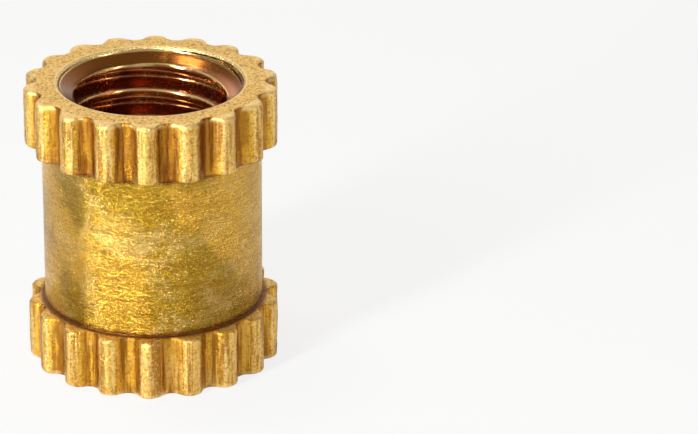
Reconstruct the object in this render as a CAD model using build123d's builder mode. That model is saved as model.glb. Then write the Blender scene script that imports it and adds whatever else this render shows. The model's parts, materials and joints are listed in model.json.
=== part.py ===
"""Brass insert for plastic, turned from one bar: an M5 through thread, two knurled collars, a plain waist.

Millimetres. The axis is Z, and the origin is the centre of the lower end face. The thread's helix is
as fine as 0.8 mm, so the bore here is the tapping bore: its wall is the thread's minor diameter.
"""

import os
from math import cos, radians, sqrt, tan

from build123d import *

# Overall length.
length = 8.0

# Thread, M5 coarse.
thread_diameter = 5.0
thread_pitch = 0.8

# Mouth of the bore, the same at both ends.
edge_break = 0.10
countersink_angle = 120.0

# Metal outside the thread, from the bore outwards, each on the radius.
wall = 0.52
waist_step = 0.15
tooth_depth = 0.33

# Knurl: straight teeth in a tangent wave of round crests and round grooves.
tooth_count = 18
crest_round = 0.35
collar_height = 1.70
rim_round = 0.12

# The collars' teeth rise from a root circle that stands a small step above the waist.
mouth_radius = thread_diameter / 2
bore_radius = mouth_radius - 5 / 8 * thread_pitch * sqrt(3) / 2
waist_radius = mouth_radius + wall
root_radius = waist_radius + waist_step
crest_radius = root_radius + tooth_depth
mouth_depth = edge_break + (mouth_radius - bore_radius) / tan(radians(countersink_angle / 2))

# One tooth, centred on the front of the insert, and the groove beside it.
first_tooth = -90.0
tooth_angle = 360 / tooth_count
half_tooth = tooth_angle / 2
crest_centre = crest_radius - crest_round


def groove_round():
    """Radius of the groove's arc that touches the root circle and both neighbouring crests."""
    along = crest_centre * cos(radians(half_tooth))
    reach = crest_round**2 - crest_centre**2 - root_radius**2 + 2 * root_radius * along
    return reach / (2 * (root_radius - along - crest_round))


def at(radius, angle):
    """The point at this radius and this angle from the first tooth's middle, in degrees."""
    return Vector(radius, 0).rotate(Axis.Z, first_tooth + angle)


def meeting_point(middle, side):
    """Where the crest at this angle runs into the groove on one side of it, -1 or 1."""
    crest = at(crest_centre, middle)
    groove = at(root_radius + groove_round(), middle + side * half_tooth)
    return crest + (groove - crest).normalized() * crest_round


with BuildPart() as insert_body:
    # The bar, knurled over its whole length in one pass, so that both collars' teeth line up.
    with BuildSketch():
        with BuildLine():
            for tooth in range(tooth_count):
                middle = tooth * tooth_angle
                crest_end = meeting_point(middle, 1)
                ThreePointArc(meeting_point(middle, -1), at(crest_radius, middle), crest_end)
                next_start = meeting_point(middle + tooth_angle, -1)
                ThreePointArc(crest_end, at(root_radius, middle + half_tooth), next_start)
        make_face()
    extrude(amount=length)

    # The waist, turned down between the collars to just under the teeth's roots.
    with BuildSketch(Plane.XY.offset(collar_height)):
        Circle(2 * crest_radius)
        Circle(waist_radius, mode=Mode.SUBTRACT)
    extrude(amount=length - 2 * collar_height, mode=Mode.SUBTRACT)

    # Rounded corners on the ends of the teeth, at both faces of each collar.
    rims = [face.outer_wire().edges() for face in insert_body.faces().filter_by(Axis.Z)]
    fillet([edge for rim in rims for edge in rim], rim_round)

    # The bore, drilled to the thread's minor diameter and countersunk at both ends.
    with BuildSketch(Plane.XZ):
        with BuildLine():
            Polyline(
                (0, 0),
                (mouth_radius + edge_break, 0),
                (mouth_radius, edge_break),
                (bore_radius, mouth_depth),
                (bore_radius, length - mouth_depth),
                (mouth_radius, length - edge_break),
                (mouth_radius + edge_break, length),
                (0, length),
                close=True,
            )
        make_face()
    revolve(axis=Axis.Z, mode=Mode.SUBTRACT)

insert_body.part.label = "insert_body"

os.makedirs("parts", exist_ok=True)
export_step(insert_body.part, "parts/insert_body.step")
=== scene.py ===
"""Finish, thread and studio for a knurled brass threaded insert.

The insert is one turned piece. Its outline is drawn once as a section, and a Geometry Nodes tree sweeps
the section round the axis, raising the knurl's teeth and cutting the thread's helix on the way.
"""

import json
from math import acos, cos, pi, radians, sin, sqrt, tan
from types import SimpleNamespace

import bmesh
import bpy
from bpy.props import FloatProperty, FloatVectorProperty, IntProperty, PointerProperty
from mathutils import Matrix, Vector


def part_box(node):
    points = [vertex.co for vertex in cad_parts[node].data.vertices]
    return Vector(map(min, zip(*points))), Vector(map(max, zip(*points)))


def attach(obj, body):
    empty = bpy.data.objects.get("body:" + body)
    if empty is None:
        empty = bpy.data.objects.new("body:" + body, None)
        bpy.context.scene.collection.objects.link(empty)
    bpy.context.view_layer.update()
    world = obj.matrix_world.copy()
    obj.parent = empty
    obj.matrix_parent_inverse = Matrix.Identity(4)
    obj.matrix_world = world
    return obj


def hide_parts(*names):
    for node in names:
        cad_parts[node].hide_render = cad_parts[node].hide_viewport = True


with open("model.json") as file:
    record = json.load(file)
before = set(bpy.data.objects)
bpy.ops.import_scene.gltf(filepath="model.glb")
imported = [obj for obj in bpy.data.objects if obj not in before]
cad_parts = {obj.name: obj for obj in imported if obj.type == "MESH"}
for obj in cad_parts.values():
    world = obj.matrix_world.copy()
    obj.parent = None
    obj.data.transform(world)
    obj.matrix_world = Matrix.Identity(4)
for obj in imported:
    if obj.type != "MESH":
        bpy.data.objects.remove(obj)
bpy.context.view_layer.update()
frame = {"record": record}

bl_info = {
    "name": "Knurled threaded insert",
    "version": (1, 0, 0),
    "blender": (4, 5, 0),
    "location": "3D View > Sidebar > Insert",
    "description": "Makes a knurled brass threaded insert, its finish and a plain studio",
    "category": "Object",
}

NODE = "insert_body"
MM = 0.001
FLOOR_REACH = 1.2

low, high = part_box(NODE)
MIDDLE = Vector((0.0, 0.0, (low.z + high.z) / 2))
mounts = {mount["name"]: mount for mount in frame["record"]["mounts"]}


# ---------------------------------------------------------------- properties


class InsertSizes(bpy.types.PropertyGroup):
    """The insert's sizes, from the frame and from its thread's standard."""

    length: FloatProperty(
        name="Length", description="Height from end face to end face",
        default=high.z - low.z, min=0.001, unit="LENGTH", precision=5,
    )
    crest_radius: FloatProperty(
        name="Crest radius", description="From the axis to the crests of the knurl",
        default=(high.y - low.y) / 2, min=0.001, unit="LENGTH", precision=5,
    )
    bore_radius: FloatProperty(
        name="Bore radius", description="The thread's minor radius",
        default=mounts["thread_top"]["dims"]["r_mm"] * MM, min=0.0005, unit="LENGTH", precision=5,
    )
    thread_pitch: FloatProperty(
        name="Pitch", description="Distance from one turn of the thread to the next",
        default=0.8 * MM, min=0.0002, unit="LENGTH", precision=5,
    )
    thread_start: FloatProperty(
        name="Thread start", description="How far below the upper mouth a crest passes the back of the bore",
        default=0.33 * MM, min=0.0, unit="LENGTH", precision=5,
    )
    edge_break: FloatProperty(
        name="Edge break", description="Small chamfer at the mouth of the bore",
        default=0.10 * MM, min=0.0, unit="LENGTH", precision=5,
    )
    countersink_angle: FloatProperty(
        name="Countersink", description="Full angle of the lead-in cone",
        default=radians(120), min=radians(60), max=radians(150), subtype="ANGLE",
    )
    tooth_count: IntProperty(name="Teeth", description="Teeth round each collar", default=18, min=6)
    steps_per_tooth: IntProperty(
        name="Steps per tooth", description="Mesh columns on each tooth", default=20, min=8,
    )
    tooth_depth: FloatProperty(
        name="Tooth depth", description="From the crest of a tooth to its root",
        default=0.33 * MM, min=0.0, unit="LENGTH", precision=5,
    )
    crest_round: FloatProperty(
        name="Crest round", description="Radius of a tooth's round crest",
        default=0.35 * MM, min=0.0001, unit="LENGTH", precision=5,
    )
    collar_height: FloatProperty(
        name="Collar height", description="Height of each knurled collar",
        default=1.70 * MM, min=0.0001, unit="LENGTH", precision=5,
    )
    rim_round: FloatProperty(
        name="Rim round", description="Rounding on the ends of the teeth",
        default=0.12 * MM, min=0.0, unit="LENGTH", precision=5,
    )
    waist_step: FloatProperty(
        name="Waist step", description="How far the waist lies under the roots of the teeth",
        default=0.15 * MM, min=0.0, unit="LENGTH", precision=5,
    )
    burr: FloatProperty(
        name="Burr", description="Unevenness that knurling leaves on the teeth",
        default=0.030 * MM, min=0.0, unit="LENGTH", precision=5,
    )
    seed: IntProperty(name="Seed", description="Picks the pattern of the unevenness", default=7)


class BrassFinish(bpy.types.PropertyGroup):
    """Colours and surface of the brass."""

    brass: FloatVectorProperty(
        name="Brass", description="Clean turned brass",
        default=(0.80, 0.455, 0.052), size=3, subtype="COLOR", min=0.0, max=1.0,
    )
    olive: FloatVectorProperty(
        name="Olive", description="Duller, greener patches on the turned surface",
        default=(0.36, 0.225, 0.010), size=3, subtype="COLOR", min=0.0, max=1.0,
    )
    # Pale brass is also painted highlight: on the teeth's edges and rims, on the thread's edges and roots,
    # and on the ring round the bore's mouth.
    pale: FloatVectorProperty(
        name="Pale brass", description="Brass freshly cut or wiped bright: end faces, edges, crests",
        default=(0.98, 0.72, 0.31), size=3, subtype="COLOR", min=0.0, max=1.0,
    )
    # In the grooves this brown is partly patina and partly painted shade.
    tarnish_and_shade: FloatVectorProperty(
        name="Tarnish", description="Brown film in the grooves and the grain",
        default=(0.33, 0.12, 0.011), size=3, subtype="COLOR", min=0.0, max=1.0,
    )
    # In the bore, its mouth and the grooves this is partly patina and partly painted shade; in the corners
    # where the collars meet the waist it is painted shade.
    dark: FloatVectorProperty(
        name="Dark film", description="Red-brown film in the bore and the corners",
        default=(0.15, 0.030, 0.008), size=3, subtype="COLOR", min=0.0, max=1.0,
    )
    # Over the bore this red is partly patina and partly painted shade.
    red_film: FloatVectorProperty(
        name="Red film", description="Reddish film on the thread",
        default=(0.54, 0.20, 0.115), size=3, subtype="COLOR", min=0.0, max=1.0,
    )
    roughness: FloatProperty(
        name="Roughness", description="Roughness of the clean brass", default=0.23, min=0.0, max=1.0,
    )
    grain: FloatProperty(
        name="Grain", description="Width of the surface's finest grain",
        default=0.075 * MM, min=0.000001, unit="LENGTH", precision=6,
    )


class StudioSettings(bpy.types.PropertyGroup):
    """Camera and light round the insert."""

    lens: FloatProperty(name="Lens", description="Focal length in millimetres", default=201.3)
    distance: FloatProperty(
        name="Distance", description="From the camera to the middle of the insert",
        default=108.1 * MM, unit="LENGTH", precision=5,
    )
    azimuth: FloatProperty(
        name="Azimuth", description="Camera's turn about the insert, from the front",
        default=radians(2.5), subtype="ANGLE",
    )
    elevation: FloatProperty(
        name="Elevation", description="Camera's height angle", default=radians(23.54), subtype="ANGLE",
    )
    pan: FloatProperty(
        name="Pan", description="How far to the right of the insert the camera looks",
        default=radians(2.877), subtype="ANGLE",
    )
    dip: FloatProperty(
        name="Dip", description="How far below the insert's middle the camera looks",
        default=radians(0.034), subtype="ANGLE",
    )
    roll: FloatProperty(
        name="Roll", description="Camera's turn about its own line of sight",
        default=radians(0.84), subtype="ANGLE",
    )
    floor_share: FloatProperty(
        name="Floor share", description="How much of its own colour the floor keeps in a shadow",
        default=0.86, min=0.0, max=1.0,
    )
    mirror_share: FloatProperty(
        name="Mirror share", description="How much of the ground's own brightness metal reflects",
        default=0.30, min=0.0, max=1.0,
    )
    ground: FloatVectorProperty(
        name="Ground", description="Colour of the floor and the backdrop",
        default=(0.955, 0.955, 0.955), size=3, subtype="COLOR", min=0.0, max=1.0,
    )


# ---------------------------------------------------------------- node trees


class Value:
    """One socket of a node tree. Arithmetic on it adds Math nodes to the tree."""

    def __init__(self, nodes, socket):
        self.nodes = nodes
        self.socket = socket

    def __add__(self, other):
        return self.nodes.math("ADD", self, other)

    def __radd__(self, other):
        return self.nodes.math("ADD", other, self)

    def __sub__(self, other):
        return self.nodes.math("SUBTRACT", self, other)

    def __rsub__(self, other):
        return self.nodes.math("SUBTRACT", other, self)

    def __mul__(self, other):
        return self.nodes.math("MULTIPLY", self, other)

    def __rmul__(self, other):
        return self.nodes.math("MULTIPLY", other, self)

    def __truediv__(self, other):
        return self.nodes.math("DIVIDE", self, other)

    def __rtruediv__(self, other):
        return self.nodes.math("DIVIDE", other, self)

    def __mod__(self, other):
        return self.nodes.math("FLOORED_MODULO", self, other)

    def __abs__(self):
        return self.nodes.math("ABSOLUTE", self)


class Nodes:
    """Adds nodes to one tree."""

    def __init__(self, tree):
        self.tree = tree

    def add(self, kind, settings=None, inputs=None, output=0):
        """Add a node: its settings first, then a value or a link for each socket named."""
        node = self.tree.nodes.new(kind)
        for name, setting in (settings or {}).items():
            setattr(node, name, setting)
        for key, value in (inputs or {}).items():
            self.feed(node.inputs[key], value)
        return Value(self, node.outputs[output])

    def feed(self, socket, value):
        """Link a Value to a socket, or set the socket's own number."""
        if isinstance(value, Value):
            self.tree.links.new(value.socket, socket)
        else:
            socket.default_value = value

    def math(self, operation, *values):
        inputs = dict(enumerate(values))
        return self.add("ShaderNodeMath", {"operation": operation}, inputs)

    def vector(self, operation, *values, output=0):
        inputs = dict(enumerate(values))
        return self.add("ShaderNodeVectorMath", {"operation": operation}, inputs, output)

    def combine(self, x=0.0, y=0.0, z=0.0):
        return self.add("ShaderNodeCombineXYZ", None, {"X": x, "Y": y, "Z": z})

    def split(self, vector):
        node = self.tree.nodes.new("ShaderNodeSeparateXYZ")
        self.feed(node.inputs[0], vector)
        return [Value(self, socket) for socket in node.outputs]

    def ramp_between(self, value, start, end):
        """0 below start and 1 above end, smooth between; start may lie above end."""
        settings = {"interpolation_type": "SMOOTHSTEP", "clamp": True}
        inputs = {"Value": value, "From Min": start, "From Max": end}
        return self.add("ShaderNodeMapRange", settings, inputs)

    def limit(self, value, least, most):
        return self.math("MINIMUM", self.math("MAXIMUM", value, least), most)

    def mix(self, factor, first, second):
        """Mix two colours."""
        node = self.tree.nodes.new("ShaderNodeMix")
        node.data_type = "RGBA"
        for key, value in ((0, factor), (6, first), (7, second)):
            if isinstance(value, tuple):
                value = (*value, 1.0)
            self.feed(node.inputs[key], value)
        return Value(self, node.outputs[2])

    def noise(self, vector, scale, detail=2.0, roughness=0.5, distortion=0.0):
        inputs = {
            "Vector": vector, "Scale": scale, "Detail": detail,
            "Roughness": roughness, "Distortion": distortion,
        }
        return self.add("ShaderNodeTexNoise", {"noise_dimensions": "3D"}, inputs)

    def scaled(self, vector, x, y, z):
        return self.vector("MULTIPLY", vector, (x, y, z))

    def finish(self, kind, shader):
        """Add the tree's output and link the shader to its surface."""
        output = self.tree.nodes.new(kind)
        self.tree.links.new(shader.socket, output.inputs["Surface"])


# ---------------------------------------------------------------- the insert's shape

# Places on the thread's profile, as shares of the pitch from the middle of a crest.
CREST_EDGE = 1 / 8
ROOT_EDGE = 1 / 2 - 1 / 16

# How far the knurl's spacing wanders in all, in radians, and how far one seed's noises lie from the next's.
WANDER = 0.05
SEED_STEP = 1.7


class Shape:
    """Sizes worked out from the driving ones."""

    def __init__(self, sizes):
        self.sizes = sizes
        self.thread_height = 5 / 8 * sizes.thread_pitch * sqrt(3) / 2
        self.mouth_radius = sizes.bore_radius + self.thread_height
        self.root_radius = sizes.crest_radius - sizes.tooth_depth
        self.waist_radius = self.root_radius - sizes.waist_step
        self.cone_depth = self.thread_height / tan(sizes.countersink_angle / 2)
        self.bore_low = sizes.edge_break
        self.bore_high = sizes.length - sizes.edge_break
        # A crest of the thread passes the back of the bore this far below the mouth.
        self.crest_height = self.bore_high - sizes.thread_start - sizes.thread_pitch / 2
        self.half_tooth = pi / sizes.tooth_count
        self.crest_centre = sizes.crest_radius - sizes.crest_round
        self.groove_round = self.find_groove_round()
        self.groove_centre = self.root_radius + self.groove_round
        self.meeting_angle = self.find_meeting_angle()

    def find_groove_round(self):
        """Radius of the groove's arc that touches the root circle and both neighbouring crests."""
        crest_round = self.sizes.crest_round
        along = self.crest_centre * cos(self.half_tooth)
        reach = crest_round**2 - self.crest_centre**2 - self.root_radius**2 + 2 * self.root_radius * along
        return reach / (2 * (self.root_radius - along - crest_round))

    def find_meeting_angle(self):
        """Angle from a tooth's middle to where its crest runs into the groove."""
        crest = Vector((self.crest_centre, 0.0))
        groove = Vector((cos(self.half_tooth), sin(self.half_tooth))) * self.groove_centre
        meeting = crest + (groove - crest).normalized() * self.sizes.crest_round
        return acos(meeting.x / meeting.length)


def corner_points(before, corner, after, size, swell_length):
    """A rounded corner between two straight runs, as points (radius, height, swell) on a parabola."""

    def real_length(run):
        return Vector((run.x + run.z * swell_length, run.y)).length

    start = corner.lerp(before, min(size / real_length(before - corner), 0.5))
    end = corner.lerp(after, min(size / real_length(after - corner), 0.5))
    steps = 6 if size > 0.05 * MM else 3
    shares = [step / steps for step in range(steps + 1)]
    return [start.lerp(corner, share).lerp(corner.lerp(end, share), share) for share in shares]


def outside_points(shape):
    """The section from the lower mouth round the outside to the upper mouth.

    Each point is (radius, height, swell). Swell is the share of the tooth's own radius that is added, so
    a point with swell 1 and radius 0 lies on the knurl.
    """
    sizes = shape.sizes
    length, collar, rim = sizes.length, sizes.collar_height, sizes.rim_round
    brink, waist = shape.mouth_radius + sizes.edge_break, shape.waist_radius
    crisp, soft = 0.015 * MM, 0.030 * MM
    # Each corner with its rounding, and the number of points on the run that leads to it.
    corners = [
        (brink, 0, 0, crisp, 1),
        (0, 0, 1, rim, 6),
        (0, collar, 1, rim, 8),
        (waist, collar, 0, soft, 2),
        (waist, length - collar, 0, soft, 8),
        (0, length - collar, 1, rim, 2),
        (0, length, 1, rim, 8),
        (brink, length, 0, crisp, 6),
    ]
    swell_length = (shape.root_radius + sizes.crest_radius) / 2
    lower_mouth = Vector((shape.mouth_radius, shape.bore_low, 0))
    upper_mouth = Vector((shape.mouth_radius, shape.bore_high, 0))
    places = [lower_mouth] + [Vector(corner[:3]) for corner in corners] + [upper_mouth]
    points = [lower_mouth]
    for index, (_, _, _, size, run) in enumerate(corners):
        rounded = corner_points(*places[index : index + 3], size, swell_length)
        last = points[-1]
        points += [last.lerp(rounded[0], step / run) for step in range(1, run)]
        points += rounded
    return points + [upper_mouth]


def thread_points(shape):
    """Heights of the section's points along the thread, from the top down, at the start of the turn.

    Within one turn they stand at both edges of the crest's flat and of the root's flat, each edge as a
    pair of points that blunts it, and between them.
    """
    pitch = shape.sizes.thread_pitch
    blunt = 0.02
    side = [CREST_EDGE - blunt, CREST_EDGE + blunt]
    side += [CREST_EDGE + (ROOT_EDGE - CREST_EDGE) * share for share in (0.38, 0.66)]
    side += [ROOT_EDGE - blunt, ROOT_EDGE + blunt]
    turn = sorted([0.0] + side + [1 - place for place in side])
    heights = []
    first = int((shape.bore_low - pitch - shape.crest_height) / pitch) - 1
    last = int((shape.bore_high - shape.crest_height) / pitch) + 1
    for number in range(first, last + 1):
        heights += [shape.crest_height + pitch * (number + place) for place in turn]
    inside = [height for height in heights if shape.bore_low - pitch < height < shape.bore_high]
    return sorted(inside, reverse=True)


def make_section(shape):
    """A mesh of loose points that holds the whole section, with swell and turn on each point."""
    outside = [(point, 0.0) for point in outside_points(shape)]
    thread = [(Vector((0.0, height, 0.0)), 1.0) for height in thread_points(shape)]
    mesh = bpy.data.meshes.new("section")
    points = outside + thread
    mesh.from_pydata([(point.x, 0.0, point.y) for point, _ in points], [], [])
    swell = mesh.attributes.new("swell", "FLOAT", "POINT")
    turn = mesh.attributes.new("turn", "FLOAT", "POINT")
    for index, (point, turning) in enumerate(points):
        swell.data[index].value = point.z
        turn.data[index].value = turning
    return mesh


def arc_parts(nodes, angle, name, inputs):
    """Where a ray at this angle from an arc's middle passes nearest its centre, and half the chord there."""
    centre, radius = inputs[f"{name} centre"], inputs[f"{name} round"]
    side = centre * nodes.math("SINE", angle)
    rest = radius * radius - side * side
    return centre * nodes.math("COSINE", angle), nodes.math("SQRT", nodes.math("MAXIMUM", rest, 0.0))


def tooth_radius(nodes, angle, inputs):
    """Radius of the knurl at this angle, in a tangent wave of round crests and round grooves."""
    half = pi / inputs["Teeth"]
    tooth = angle % (2 * half)
    from_crest = nodes.math("MINIMUM", tooth, 2 * half - tooth)
    from_groove = half - from_crest
    crest_middle, crest_reach = arc_parts(nodes, from_crest, "Crest", inputs)
    groove_middle, groove_reach = arc_parts(nodes, from_groove, "Groove", inputs)
    crest, groove = crest_middle + crest_reach, groove_middle - groove_reach
    in_groove = nodes.math("GREATER_THAN", from_crest, inputs["Meeting angle"])
    return crest + (groove - crest) * in_groove


def bore_radius_at(nodes, height, turned, inputs):
    """Radius of the bore at this height: the thread's profile, or the cone where that is wider."""
    place = (height - inputs["Crest height"]) / inputs["Pitch"] - turned
    from_crest = abs((place + 0.5) % 1.0 - 0.5)
    flank = nodes.limit((from_crest - CREST_EDGE) / (ROOT_EDGE - CREST_EDGE), 0.0, 1.0)
    from_end = nodes.math("MINIMUM", height - inputs["Bore low"], inputs["Bore high"] - height)
    cone = nodes.limit(1.0 - from_end / inputs["Cone depth"], 0.0, 1.0)
    return inputs["Bore radius"] + inputs["Thread height"] * nodes.math("MAXIMUM", flank, cone)


def uneven_knurl(nodes, angle, height, inputs):
    """Radius of the knurl as it is cut: the teeth's spacing wanders and their edges are burred."""
    east, north = nodes.math("COSINE", angle), nodes.math("SINE", angle)
    shift = inputs["Seed"] * SEED_STEP
    wander = (nodes.noise(nodes.combine(east, north, height * 40.0 + shift), 1.6) - 0.5) * WANDER
    knurl = tooth_radius(nodes, angle + wander + 2 * pi, inputs)
    fine_place = nodes.combine(east * 3.5, north * 3.5, height * 1000.0 + shift)
    rough = nodes.noise(fine_place, 3.2, detail=3.0, roughness=0.6)
    return knurl - nodes.ramp_between(rough, 0.35, 0.75) * inputs["Burr"]


SIZE_INPUTS = (
    "Crest centre", "Crest round", "Groove centre", "Groove round", "Meeting angle",
    "Bore radius", "Thread height", "Cone depth", "Bore low", "Bore high", "Crest height",
    "Pitch", "Burr",
)


def insert_tree():
    """The tree that sweeps the section round the axis."""
    tree = bpy.data.node_groups.new("knurled_threaded_sweep", "GeometryNodeTree")
    face = tree.interface
    face.new_socket("Section", in_out="INPUT", socket_type="NodeSocketGeometry")
    face.new_socket("Geometry", in_out="OUTPUT", socket_type="NodeSocketGeometry")
    face.new_socket("Teeth", in_out="INPUT", socket_type="NodeSocketInt")
    face.new_socket("Steps per tooth", in_out="INPUT", socket_type="NodeSocketInt")
    face.new_socket("Seed", in_out="INPUT", socket_type="NodeSocketInt")
    face.new_socket("Material", in_out="INPUT", socket_type="NodeSocketMaterial")
    for name in SIZE_INPUTS:
        face.new_socket(name, in_out="INPUT", socket_type="NodeSocketFloat")

    nodes = Nodes(tree)
    group = tree.nodes.new("NodeGroupInput")
    inputs = {socket.name: Value(nodes, socket) for socket in group.outputs if socket.name}
    count = nodes.add("GeometryNodeAttributeDomainSize", {"component": "MESH"}, {0: inputs["Section"]})
    steps = inputs["Teeth"] * inputs["Steps per tooth"]
    grid = nodes.add(
        "GeometryNodeMeshGrid", None,
        {"Size X": 1.0, "Size Y": 1.0, "Vertices X": steps + 1, "Vertices Y": count + 1},
    )
    across, along, _ = nodes.split(nodes.add("GeometryNodeInputPosition"))
    turned = nodes.math("ROUND", (across + 0.5) * steps) / steps
    station = nodes.math("ROUND", (along + 0.5) * count) % count

    def sample(kind, value):
        inputs_of = {"Geometry": inputs["Section"], "Value": value, "Index": station}
        return nodes.add("GeometryNodeSampleIndex", {"data_type": kind, "domain": "POINT"}, inputs_of)

    def named(name):
        return nodes.add("GeometryNodeInputNamedAttribute", {"data_type": "FLOAT"}, {"Name": name})

    radius, _, height = nodes.split(sample("FLOAT_VECTOR", nodes.add("GeometryNodeInputPosition")))
    swell = sample("FLOAT", named("swell"))
    turn = sample("FLOAT", named("turn"))

    # The thread's points climb one pitch in each turn, and stop at the mouths.
    climbed = nodes.limit(height + inputs["Pitch"] * turned, inputs["Bore low"], inputs["Bore high"])
    height = height + (climbed - height) * turn

    angle = turned * (2 * pi)
    outside = radius + swell * uneven_knurl(nodes, angle, height, inputs)
    inside = bore_radius_at(nodes, height, turned, inputs)
    radius = outside + (inside - outside) * turn

    front = angle - pi / 2
    place = nodes.combine(
        radius * nodes.math("COSINE", front), radius * nodes.math("SINE", front), height,
    )
    swept = nodes.add("GeometryNodeSetPosition", None, {"Geometry": grid, "Position": place})
    merged = nodes.add("GeometryNodeMergeByDistance", None, {"Geometry": swept, "Distance": 0.0012 * MM})
    smooth = nodes.add("GeometryNodeSetShadeSmooth", None, {"Geometry": merged, "Shade Smooth": True})
    real = nodes.add("GeometryNodeRealizeInstances", None, {"Geometry": smooth})
    finished = nodes.add(
        "GeometryNodeSetMaterial", None, {"Geometry": real, "Material": inputs["Material"]},
    )
    output = tree.nodes.new("NodeGroupOutput")
    tree.links.new(finished.socket, output.inputs[0])
    return tree


def sweep_insert(shape, material):
    """Run the tree on the section and return the result as a plain mesh."""
    sizes = shape.sizes
    holder = bpy.data.objects.new("section_holder", make_section(shape))
    bpy.context.scene.collection.objects.link(holder)
    tree = insert_tree()
    modifier = holder.modifiers.new("sweep", "NODES")
    modifier.node_group = tree
    values = {
        "Teeth": sizes.tooth_count,
        "Steps per tooth": sizes.steps_per_tooth,
        "Seed": sizes.seed,
        "Material": material,
        "Crest centre": shape.crest_centre,
        "Crest round": sizes.crest_round,
        "Groove centre": shape.groove_centre,
        "Groove round": shape.groove_round,
        "Meeting angle": shape.meeting_angle,
        "Bore radius": sizes.bore_radius,
        "Thread height": shape.thread_height,
        "Cone depth": shape.cone_depth,
        "Bore low": shape.bore_low,
        "Bore high": shape.bore_high,
        "Crest height": shape.crest_height,
        "Pitch": sizes.thread_pitch,
        "Burr": sizes.burr,
    }
    for socket in tree.interface.items_tree:
        if socket.in_out == "INPUT" and socket.name in values:
            modifier[socket.identifier] = values[socket.name]
    graph = bpy.context.evaluated_depsgraph_get()
    graph.update()
    mesh = bpy.data.meshes.new_from_object(holder.evaluated_get(graph), depsgraph=graph)
    holder.modifiers.clear()
    bpy.data.objects.remove(holder)
    return mesh


def close_mesh(mesh):
    """Drop what merging left without area, and turn every face outwards."""
    work = bmesh.new()
    work.from_mesh(mesh)
    bmesh.ops.dissolve_degenerate(work, dist=1e-8, edges=work.edges)
    loose = [vert for vert in work.verts if not vert.link_faces]
    bmesh.ops.delete(work, geom=loose, context="VERTS")
    bmesh.ops.recalc_face_normals(work, faces=work.faces)
    if work.calc_volume(signed=True) < 0:
        bmesh.ops.reverse_faces(work, faces=work.faces)
    open_edges = [edge for edge in work.edges if not edge.is_manifold]
    if open_edges:
        raise RuntimeError(f"the insert's mesh has {len(open_edges)} open edges")
    work.to_mesh(mesh)
    work.free()
    mesh.update()


# ---------------------------------------------------------------- brass


def empty_material(name):
    """A new material with an empty tree."""
    material = bpy.data.materials.new(name)
    material.use_nodes = True
    material.node_tree.nodes.clear()
    return material, Nodes(material.node_tree)


def region_masks(nodes, shape, radius, height, upright):
    """Masks of the insert's regions, each 1 inside its region. What ends in mm is in millimetres."""
    sizes = shape.sizes
    radius_mm = radius / MM
    end_mm = nodes.math("MINIMUM", height, sizes.length - height) / MM
    mouth_mm, waist_mm = shape.mouth_radius / MM, shape.waist_radius / MM
    collar_mm, thread_mm = sizes.collar_height / MM, shape.thread_height / MM
    depth = (sizes.crest_radius - radius) / sizes.tooth_depth
    above_crest_mm = radius_mm - sizes.bore_radius / MM
    ramp = nodes.ramp_between

    masks = SimpleNamespace()
    masks.bore = ramp(radius_mm, mouth_mm + 0.05, mouth_mm - 0.01)
    masks.outside = 1.0 - masks.bore
    masks.mouth = masks.bore * ramp(end_mm, 0.42, 0.30)
    masks.ring = ramp(abs(radius_mm - (mouth_mm + 0.06)), 0.10, 0.05) * ramp(end_mm, 0.16, 0.09)
    masks.thread_edge = ramp(abs(above_crest_mm - 0.025), 0.03, 0.012) * masks.bore
    masks.thread_crest = ramp(above_crest_mm, 0.02, 0.005) * masks.bore
    masks.thread_root = ramp(above_crest_mm, thread_mm - 0.05, thread_mm - 0.01) * masks.bore
    masks.collar = ramp(end_mm, collar_mm + 0.04, collar_mm)
    masks.face = ramp(upright, 0.75, 0.95) * masks.outside
    masks.side = masks.collar * masks.outside * (1.0 - masks.face)
    masks.waist = (1.0 - masks.collar) * masks.outside
    masks.groove = ramp(depth, 0.30, 0.85) * masks.side
    masks.crest = ramp(depth, 0.16, 0.02) * masks.side
    masks.edge = ramp(abs(depth - 0.20), 0.12, 0.03) * masks.side
    masks.rim = ramp(end_mm, 0.17, 0.05) * ramp(depth, 1.05, 0.90) * masks.outside
    # The corners where the collars meet the waist, which get painted shade.
    near_ledge = ramp(abs(end_mm - collar_mm), 0.17, 0.03) * masks.outside
    masks.corner = near_ledge * ramp(radius_mm, waist_mm + 0.20, waist_mm + 0.06)
    # The grooves are darkened more on the upper collar than on the lower one.
    masks.film = 0.45 + 0.55 * nodes.math("GREATER_THAN", height, sizes.length / 2)
    return masks


def surface_patterns(nodes, place, radius, height, grain_width):
    """Noises that the finish is made of, with their scales per metre.

    Turning lines follow height on the sides and radius on the faces.
    """
    patterns = SimpleNamespace()
    patterns.grain = nodes.noise(place, 1 / grain_width, detail=3.0, roughness=0.75)
    patterns.blotch = nodes.noise(place, 900.0, detail=4.0, roughness=0.65, distortion=0.6)
    patterns.patch = nodes.noise(nodes.scaled(place, 1.0, 1.0, 0.75), 420.0, detail=3.0, roughness=0.55)
    lines_place = nodes.scaled(place, 900.0, 900.0, 26000.0)
    patterns.lines = nodes.noise(lines_place, 1.0, detail=3.0, roughness=0.7)
    wide_place = nodes.scaled(place, 350.0, 350.0, 3600.0)
    patterns.wide_lines = nodes.noise(wide_place, 1.0, detail=2.0, roughness=0.6)
    rings_place = nodes.combine(radius * 11000.0, height * 9000.0, 0.0)
    patterns.rings = nodes.noise(rings_place, 1.0, detail=2.0)
    streaks_place = nodes.scaled(place, 7000.0, 7000.0, 420.0)
    patterns.streaks = nodes.noise(streaks_place, 1.0, detail=3.0, roughness=0.6)
    patterns.pits = nodes.noise(place, 5600.0, detail=1.0, roughness=0.4)
    patterns.shade = nodes.ramp_between(patterns.grain, 0.50, 0.36)
    return patterns


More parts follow.
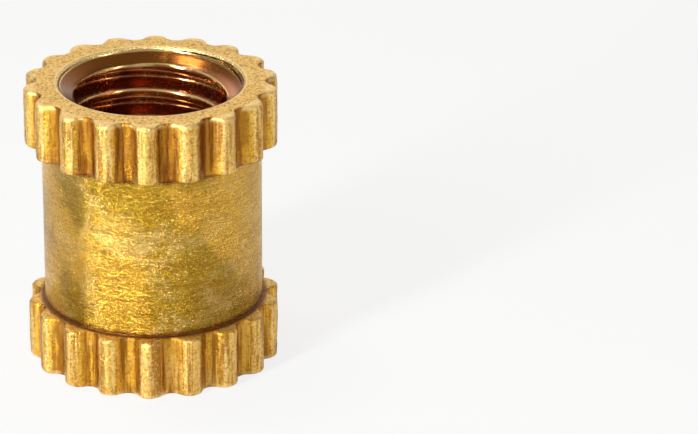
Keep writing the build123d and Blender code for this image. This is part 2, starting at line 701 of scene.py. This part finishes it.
def outside_colour(nodes, finish, masks, patterns):
    """Turned waist, streaked teeth and pale end faces, all with grain, with patina and painted shade in the
    grooves, painted shade in the corners and painted highlights on the teeth's edges and rims.
    """
    olive, pale = tuple(finish.olive), tuple(finish.pale)
    tarnish_and_shade, dark = tuple(finish.tarnish_and_shade), tuple(finish.dark)
    blotch, streaks = patterns.blotch, patterns.streaks
    ramp, mix = nodes.ramp_between, nodes.mix
    colour = mix(ramp(patterns.patch, 0.43, 0.58) * 0.80 * masks.waist, tuple(finish.brass), olive)
    colour = mix(ramp(blotch, 0.46, 0.66) * 0.30 * masks.outside, colour, pale)
    colour = mix(masks.face * 0.30, colour, pale)
    colour = mix(ramp(streaks, 0.56, 0.42) * 0.72 * masks.side, colour, tarnish_and_shade)
    # The grooves are darkened, partly patina and partly painted shade, more on the upper collar.
    colour = mix(masks.groove * ramp(blotch, 0.20, 0.52) * masks.film * 0.80, colour, tarnish_and_shade)
    colour = mix(masks.groove * ramp(streaks, 0.52, 0.38) * masks.film * 0.70, colour, dark)
    # Painted highlights on the teeth's edges, with the crests partly worn bright.
    wiped_and_highlit = (masks.crest * 0.30 + masks.edge * 0.55) * ramp(streaks, 0.36, 0.52)
    colour = mix(wiped_and_highlit, colour, pale)
    shade = patterns.shade * (0.50 + 0.10 * masks.collar + 0.22 * masks.face) * masks.outside
    colour = mix(shade, colour, tarnish_and_shade)
    glint = ramp(patterns.grain, 0.52, 0.66) * (1.0 - masks.groove) * masks.outside
    colour = mix(glint * (0.28 + 0.24 * masks.collar + 0.25 * masks.face), colour, pale)
    colour = mix(ramp(patterns.wide_lines, 0.55, 0.40) * 0.22 * masks.waist, colour, tarnish_and_shade)
    # Painted highlight on the rims of the teeth.
    colour = mix(masks.rim * ramp(blotch, 0.34, 0.54) * 0.60, colour, pale)
    # Painted shade in the corners where the collars meet the waist.
    return mix(masks.corner * 0.85, colour, dark)


def bore_colour(nodes, finish, masks, patterns, colour):
    """Patina and painted shade over the bore, darker at the mouth, with the thread's flats darkened, painted
    highlights on the thread's edges and roots, and the ring round the mouth painted pale as cut brass with a
    painted highlight.
    """
    pale, red_film, dark = tuple(finish.pale), tuple(finish.red_film), tuple(finish.dark)
    patchy = nodes.ramp_between(patterns.blotch, 0.38, 0.60)
    # The bore is partly patina and partly painted shade, painted darker still at the mouth as shade.
    film = nodes.mix(masks.mouth, red_film, dark)
    colour = nodes.mix(masks.bore * 0.90, colour, film)
    colour = nodes.mix((masks.thread_crest + masks.thread_root) * 0.30, colour, tuple(finish.tarnish_and_shade))
    # Painted highlights on the thread's edges and roots.
    colour = nodes.mix(masks.thread_edge * (0.55 + 0.45 * patchy), colour, pale)
    colour = nodes.mix(masks.thread_root * patchy * 0.45, colour, pale)
    # The ring round the mouth is painted pale: paler cut brass with a painted highlight.
    return nodes.mix(masks.ring * 0.90, colour, pale)


def brass_roughness(nodes, finish, masks, patterns):
    """Duller on the faces and in the grain, smoother in the bore and on its ring."""
    rough = finish.roughness + (patterns.blotch - 0.5) * 0.20 + masks.face * 0.22 + masks.side * 0.06
    rough = rough + (patterns.lines - 0.5) * 0.12 * masks.waist - masks.bore * 0.06
    rough = rough + patterns.shade * 0.10 - masks.ring * 0.10
    return nodes.limit(rough, 0.14, 0.85)


def brass_relief(nodes, masks, patterns):
    """Height of the finest relief, in millimetres. The turning lines spread light along the axis."""
    relief = patterns.grain * (0.003 + 0.027 * masks.collar) * masks.outside
    relief = relief + (patterns.lines * 0.060 + patterns.wide_lines * 0.012) * masks.waist
    relief = relief + (patterns.rings * 0.012 + patterns.grain * 0.012) * masks.face
    relief = relief + patterns.streaks * 0.030 * masks.side
    relief = relief - nodes.ramp_between(patterns.pits, 0.68, 0.78) * 0.020 * masks.waist
    relief = relief + patterns.blotch * (0.002 + 0.028 * masks.collar) * masks.outside
    return relief + patterns.lines * 0.004 * masks.bore


def brass_material(finish, shape):
    """Turned and knurled brass: grain, turning lines, patina and painted shade in the grooves and the bore,
    painted shade in corners, painted highlights on edges, paler cut faces.
    """
    material, nodes = empty_material("turned_brass")
    place = nodes.add("ShaderNodeTexCoord", output=3)
    x, y, height = nodes.split(place)
    height = height - low.z
    radius = nodes.math("SQRT", x * x + y * y)
    _, _, facing_up = nodes.split(nodes.add("ShaderNodeTexCoord", output=1))
    masks = region_masks(nodes, shape, radius, height, abs(facing_up))
    patterns = surface_patterns(nodes, place, radius, height, finish.grain)
    colour = outside_colour(nodes, finish, masks, patterns)
    colour = bore_colour(nodes, finish, masks, patterns, colour)
    relief = brass_relief(nodes, masks, patterns)
    bump = nodes.add("ShaderNodeBump", None, {"Strength": 1.0, "Distance": MM, "Height": relief})
    inputs = {"Base Color": colour, "Metallic": 1.0, "Normal": bump}
    inputs["Roughness"] = brass_roughness(nodes, finish, masks, patterns)
    shader = nodes.add("ShaderNodeBsdfPrincipled", None, inputs)
    nodes.finish("ShaderNodeOutputMaterial", shader)
    return material


# ---------------------------------------------------------------- studio


def seen_ground(nodes, camera_share, mirror_share):
    """How much of the plain ground colour a ray sees: one share for the camera, one for metal and glass."""
    path = nodes.tree.nodes.new("ShaderNodeLightPath")
    names = ("Is Camera Ray", "Is Glossy Ray", "Is Transmission Ray")
    camera, glossy, through = [Value(nodes, path.outputs[name]) for name in names]
    mirrored = nodes.math("MAXIMUM", glossy, through) * mirror_share
    return nodes.math("MAXIMUM", camera * camera_share, mirrored)


def floor_material(studio):
    """Pale floor that keeps a soft shadow."""
    material, nodes = empty_material("pale_floor")
    ground = (*studio.ground, 1.0)
    glow = nodes.add("ShaderNodeEmission", None, {"Color": ground, "Strength": 1.0})
    matt = nodes.add("ShaderNodeBsdfDiffuse", None, {"Color": ground})
    seen = seen_ground(nodes, studio.floor_share, studio.mirror_share)
    mixed = nodes.add("ShaderNodeMixShader", None, {0: seen, 1: matt, 2: glow})
    nodes.finish("ShaderNodeOutputMaterial", mixed)
    return material


def studio_world(studio):
    """A pale room: white behind the insert, dimmer in front, with a dark screen on the right."""
    world = bpy.data.worlds.new("studio")
    bpy.context.scene.world = world
    world.use_nodes = True
    world.node_tree.nodes.clear()
    nodes = Nodes(world.node_tree)
    direction = nodes.add("ShaderNodeTexCoord", output=0)
    _, north, up = nodes.split(direction)
    behind = nodes.ramp_between(north, 0.30, 0.90)
    screen_way = direction_from(radians(98), radians(-8))
    screen = nodes.vector("DOT_PRODUCT", direction, tuple(screen_way), output=1)
    dark = nodes.ramp_between(screen, 0.60, 0.90)
    level = 0.14 + behind * 0.88 + nodes.ramp_between(up, 0.4, 1.0) * 0.15
    level = level * (1.0 - dark * 0.90)
    tint = nodes.mix(behind, (1.0, 0.90, 0.74), (1.0, 0.99, 0.97))
    room = nodes.add("ShaderNodeBackground", None, {"Color": tint, "Strength": level})
    plain = nodes.add("ShaderNodeBackground", None, {"Color": (*studio.ground, 1.0), "Strength": 1.0})
    seen = seen_ground(nodes, 1.0, studio.mirror_share)
    mixed = nodes.add("ShaderNodeMixShader", None, {0: seen, 1: room, 2: plain})
    nodes.finish("ShaderNodeOutputWorld", mixed)


def direction_from(azimuth, elevation):
    """Unit vector from the insert; azimuth 0 is the front, and it grows to the right."""
    return Vector((sin(azimuth) * cos(elevation), -cos(azimuth) * cos(elevation), sin(elevation)))


def softbox(name, azimuth, elevation, distance, width, height, glow, colour):
    """A rectangular lamp that faces the insert. Glow is its surface brightness."""
    lamp = bpy.data.lights.new(name, "AREA")
    lamp.shape = "RECTANGLE"
    lamp.size, lamp.size_y = width, height
    lamp.energy = glow * pi * width * height
    lamp.color = colour
    lamp_object = bpy.data.objects.new(name, lamp)
    bpy.context.scene.collection.objects.link(lamp_object)
    away = direction_from(radians(azimuth), radians(elevation))
    lamp_object.location = MIDDLE + away * distance
    lamp_object.rotation_euler = away.to_track_quat("Z", "Y").to_euler()


def swung(first, second, angle):
    """Two axes at right angles, both turned by this angle, the first towards the second."""
    turned_first = first * cos(angle) + second * sin(angle)
    turned_second = second * cos(angle) - first * sin(angle)
    return turned_first, turned_second


def place_camera(studio):
    """Look past the insert from the front and a little above, with the insert left of the middle."""
    back = direction_from(studio.azimuth, studio.elevation)
    right = Vector((0.0, 0.0, 1.0)).cross(back).normalized()
    right, up = swung(right, back.cross(right), -studio.roll)
    ahead, right = swung(-back, right, studio.pan)
    up, ahead = swung(up, ahead, studio.dip)
    camera = bpy.data.cameras.new("camera")
    camera.lens = studio.lens
    camera.sensor_width = 36.0
    camera.clip_start = 0.001
    camera.clip_end = 10.0
    camera_object = bpy.data.objects.new("camera", camera)
    bpy.context.scene.collection.objects.link(camera_object)
    turn = Matrix((right, up, -ahead)).transposed().to_4x4()
    camera_object.matrix_world = Matrix.Translation(MIDDLE + back * studio.distance) @ turn
    bpy.context.scene.camera = camera_object


# ---------------------------------------------------------------- operators


class INSERT_OT_body(bpy.types.Operator):
    """Make the insert: knurled collars, plain waist and threaded bore"""

    bl_idname = "insert.body"
    bl_label = "Insert body"

    def execute(self, context):
        shape = Shape(context.scene.insert_sizes)
        material = brass_material(context.scene.insert_finish, shape)
        mesh = sweep_insert(shape, material)
        close_mesh(mesh)
        mesh.name = "threaded_insert"
        piece = bpy.data.objects.new("threaded_insert", mesh)
        context.scene.collection.objects.link(piece)
        if not mesh.materials:
            mesh.materials.append(material)
        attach(piece, "root")
        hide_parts(NODE)
        return {"FINISHED"}


class INSERT_OT_stage(bpy.types.Operator):
    """Set the floor, the lamps, the room and the camera"""

    bl_idname = "insert.stage"
    bl_label = "Stage"

    def execute(self, context):
        studio = context.scene.insert_studio
        mesh = bpy.data.meshes.new("floor")
        sides = ((-1, -1), (1, -1), (1, 1), (-1, 1))
        corners = [(FLOOR_REACH * x, FLOOR_REACH * y, low.z) for x, y in sides]
        mesh.from_pydata(corners, [], [(0, 1, 2, 3)])
        mesh.materials.append(floor_material(studio))
        floor = bpy.data.objects.new("floor", mesh)
        context.scene.collection.objects.link(floor)
        studio_world(studio)
        # Each lamp: azimuth and elevation in degrees, distance, width, height, brightness and colour.
        white = (1.0, 1.0, 1.0)
        cool = (0.94, 1.0, 1.0)
        softbox("key_strip", -40, 20, 0.110, 0.012, 0.120, 44.0, cool)
        softbox("overhead", -122, 69, 0.140, 0.030, 0.034, 11.0, white)
        softbox("right_strip", 60, 22, 0.120, 0.009, 0.100, 8.0, white)
        place_camera(studio)
        context.scene.view_settings.view_transform = "Standard"
        return {"FINISHED"}


class INSERT_PT_panel(bpy.types.Panel):
    """Buttons and sizes in the sidebar"""

    bl_idname = "INSERT_PT_panel"
    bl_label = "Threaded insert"
    bl_space_type = "VIEW_3D"
    bl_region_type = "UI"
    bl_category = "Insert"

    def draw(self, context):
        column = self.layout.column()
        column.operator(INSERT_OT_body.bl_idname)
        column.operator(INSERT_OT_stage.bl_idname)
        scene = context.scene
        for group in (scene.insert_sizes, scene.insert_finish, scene.insert_studio):
            for name in group.__annotations__:
                column.prop(group, name)


CLASSES = (InsertSizes, BrassFinish, StudioSettings, INSERT_OT_body, INSERT_OT_stage, INSERT_PT_panel)


def register():
    for cls in CLASSES:
        bpy.utils.register_class(cls)
    bpy.types.Scene.insert_sizes = PointerProperty(type=InsertSizes)
    bpy.types.Scene.insert_finish = PointerProperty(type=BrassFinish)
    bpy.types.Scene.insert_studio = PointerProperty(type=StudioSettings)


def unregister():
    del bpy.types.Scene.insert_studio
    del bpy.types.Scene.insert_finish
    del bpy.types.Scene.insert_sizes
    for cls in reversed(CLASSES):
        bpy.utils.unregister_class(cls)


def main():
    register()
    bpy.ops.insert.body()
    bpy.ops.insert.stage()


if __name__ == "__main__":
    main()
